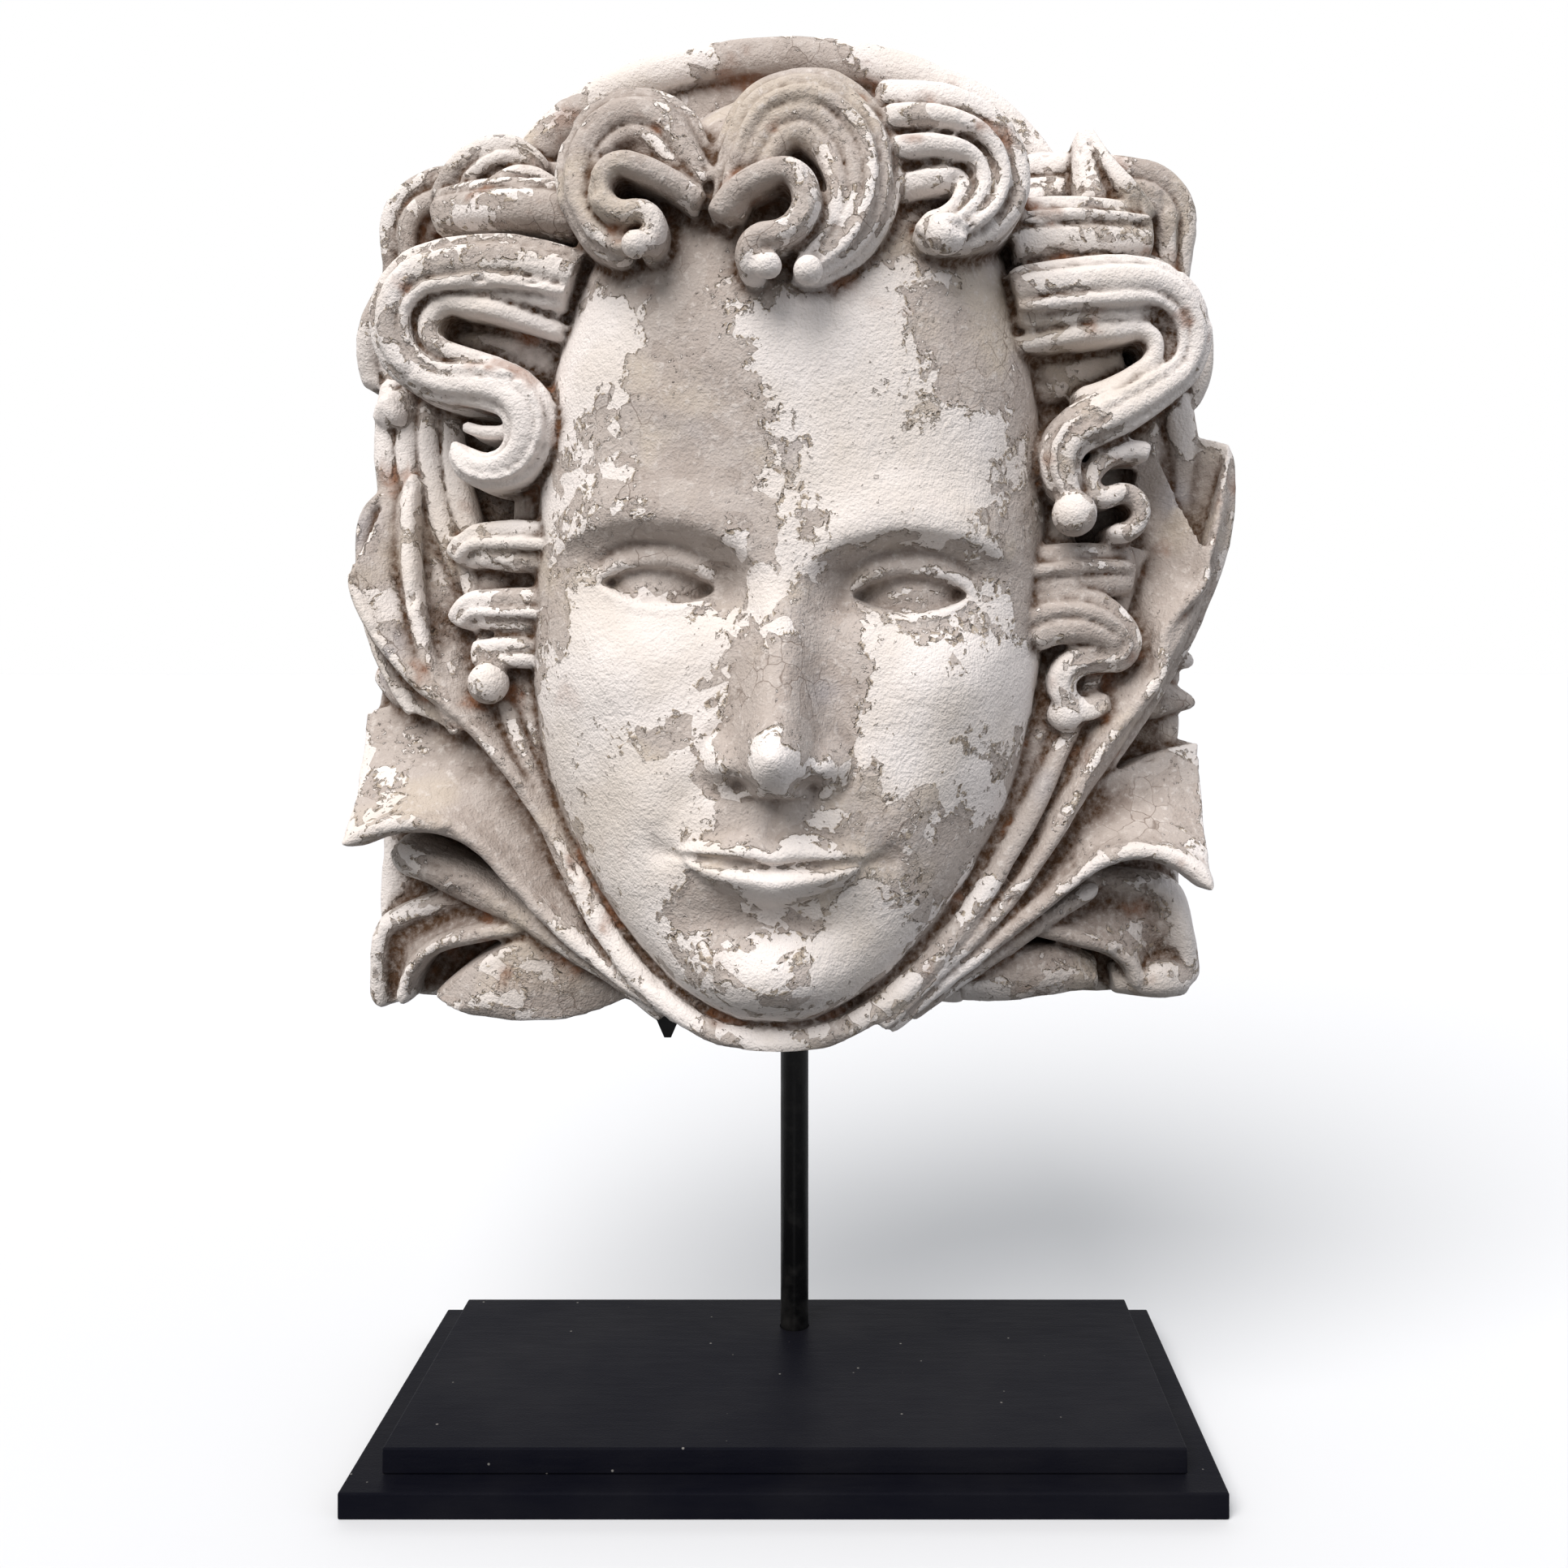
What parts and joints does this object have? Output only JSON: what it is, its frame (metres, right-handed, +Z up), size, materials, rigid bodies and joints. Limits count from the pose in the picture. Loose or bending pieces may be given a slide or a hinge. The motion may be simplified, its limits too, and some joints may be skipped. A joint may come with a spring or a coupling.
{
  "type": "plaster mascaron on a stand",
  "caption": "Square architectural face mask in cast plaster with scrolled curls and a collar of leaves, on a black steel rod and a stepped black plinth.",
  "frame": {"origin": "centre of the plinth's underside", "axes": "+Z up, the face looks along -Y, +X to the viewer's right"},
  "size_m": [0.4395, 0.2547, 0.696],
  "materials": {
    "painted_plaster": "cast lime plaster with old grey-beige distemper that flakes off",
    "black_steel": "welded mild steel with matte black paint",
    "black_wood": "fibreboard sprayed satin black"
  },
  "bodies": {
    "root": {"mascaron": "painted_plaster", "steel_support": "black_steel", "plinth_upper_board": "black_wood", "plinth_lower_board": "black_wood"}
  },
  "joints": []
}
